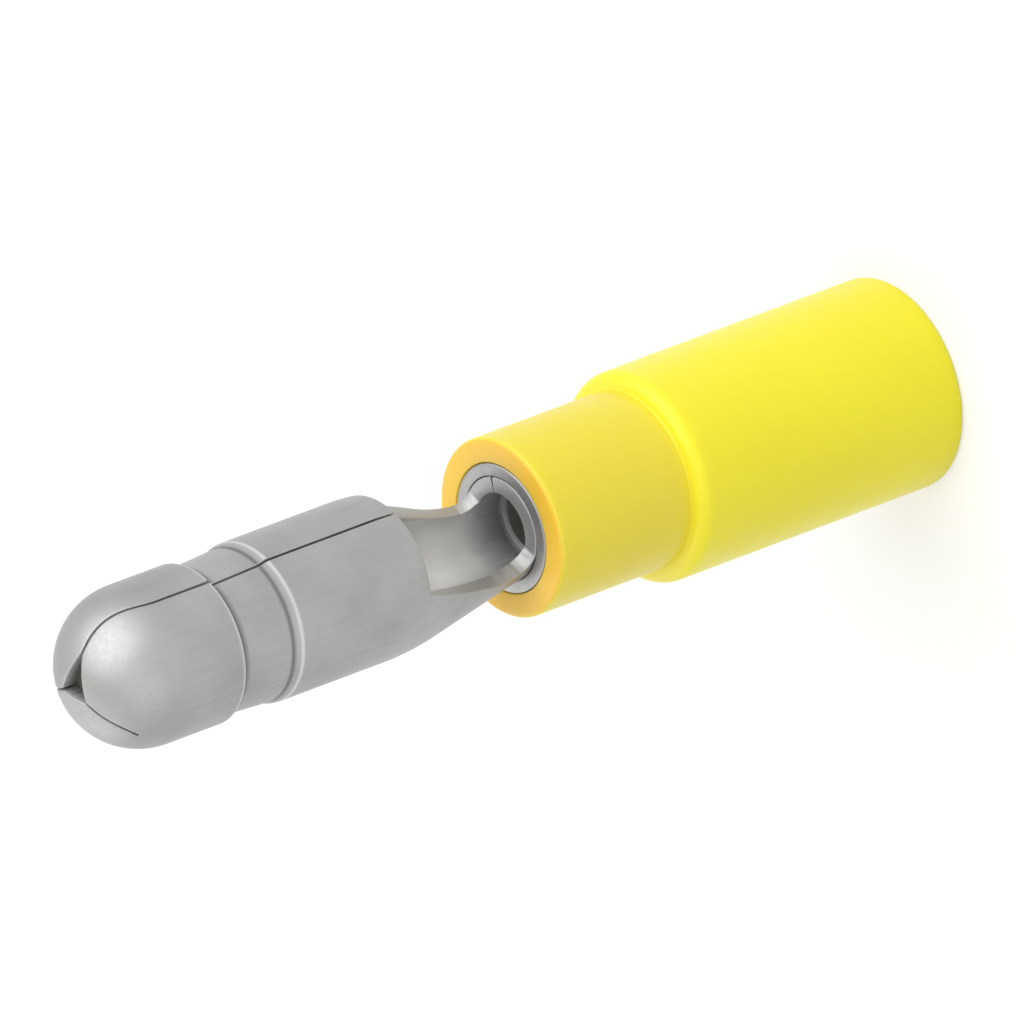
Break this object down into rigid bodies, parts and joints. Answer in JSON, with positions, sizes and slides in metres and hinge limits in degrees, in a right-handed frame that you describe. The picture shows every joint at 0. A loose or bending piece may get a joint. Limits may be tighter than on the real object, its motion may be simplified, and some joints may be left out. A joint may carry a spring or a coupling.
{
  "type": "insulated male bullet crimp terminal",
  "caption": "Male bullet terminal rolled from tinned sheet, with a detent groove, open neck and crimp barrel, in a stepped yellow insulating sleeve with a wide wire entry.",
  "frame": {"origin": "centre of the sleeve's wire end face, on the axis and on the surface that the part stands on", "axes": "+Z along the axis from the wire end to the bullet's tip, the neck's opening and the bullet's seam towards -Y"},
  "size_m": [0.0066, 0.0066, 0.032],
  "materials": {
    "tinned_sheet": "satin tin plate over copper alloy sheet",
    "tinned_tube": "satin tin plate over brass tube",
    "yellow_plastic": "smooth, slightly translucent moulded plastic"
  },
  "bodies": {
    "root": {"bullet_terminal": "tinned_sheet", "support_sleeve": "tinned_tube", "insulating_sleeve": "yellow_plastic"}
  },
  "joints": []
}
